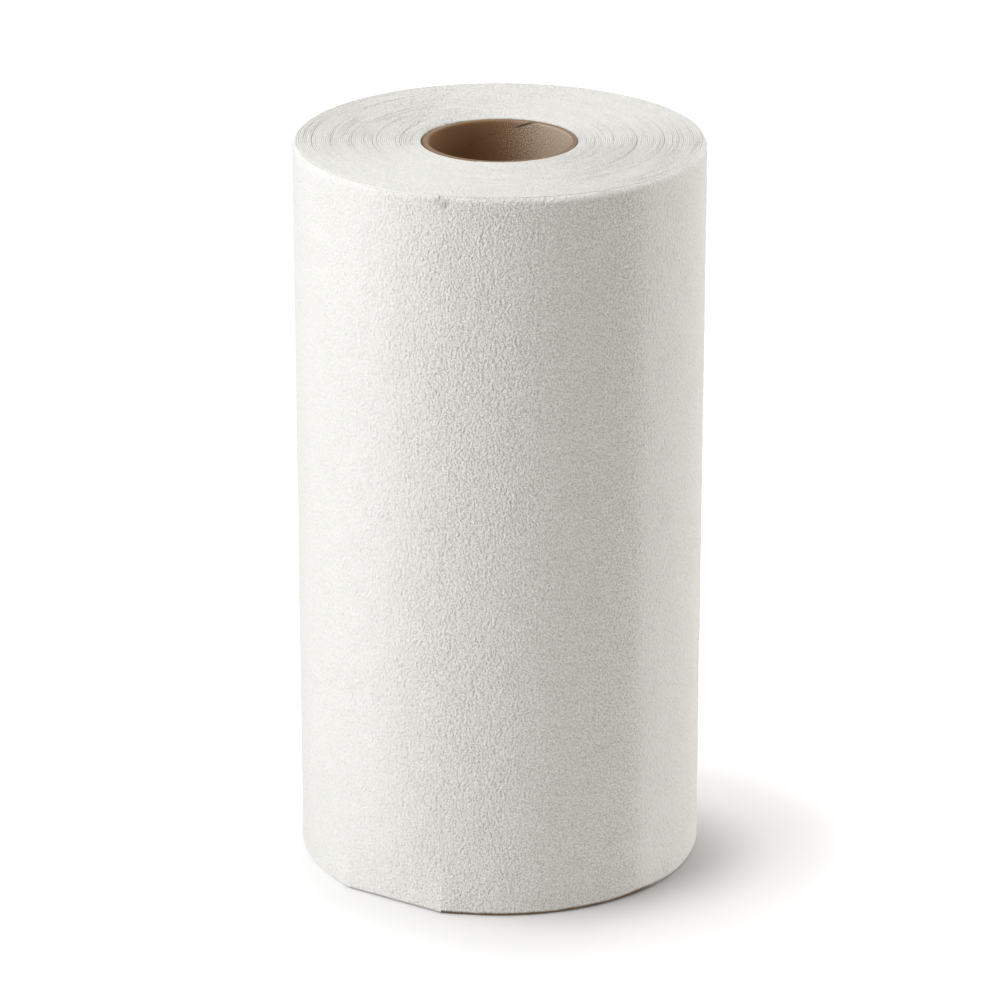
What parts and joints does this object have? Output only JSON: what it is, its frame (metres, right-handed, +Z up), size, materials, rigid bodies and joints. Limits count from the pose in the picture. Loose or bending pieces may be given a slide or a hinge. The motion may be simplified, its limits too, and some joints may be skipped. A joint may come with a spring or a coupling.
{
  "type": "paper towel roll",
  "caption": "Free-standing roll of white creped paper towel: a paper web wound in a tight spiral on a hollow cardboard core, with its loose edge down the side.",
  "frame": {"origin": "middle of the end that the roll stands on", "axes": "+Z up along the roll's axis; +X to the right and +Y away as seen from the picture's side, where the loose edge is a little left of the middle"},
  "size_m": [0.12, 0.1198, 0.22],
  "materials": {
    "towel_paper": "matte",
    "core_cardboard": "matte"
  },
  "bodies": {
    "root": {"paper_roll": "towel_paper", "core_tube": "core_cardboard"}
  },
  "joints": []
}
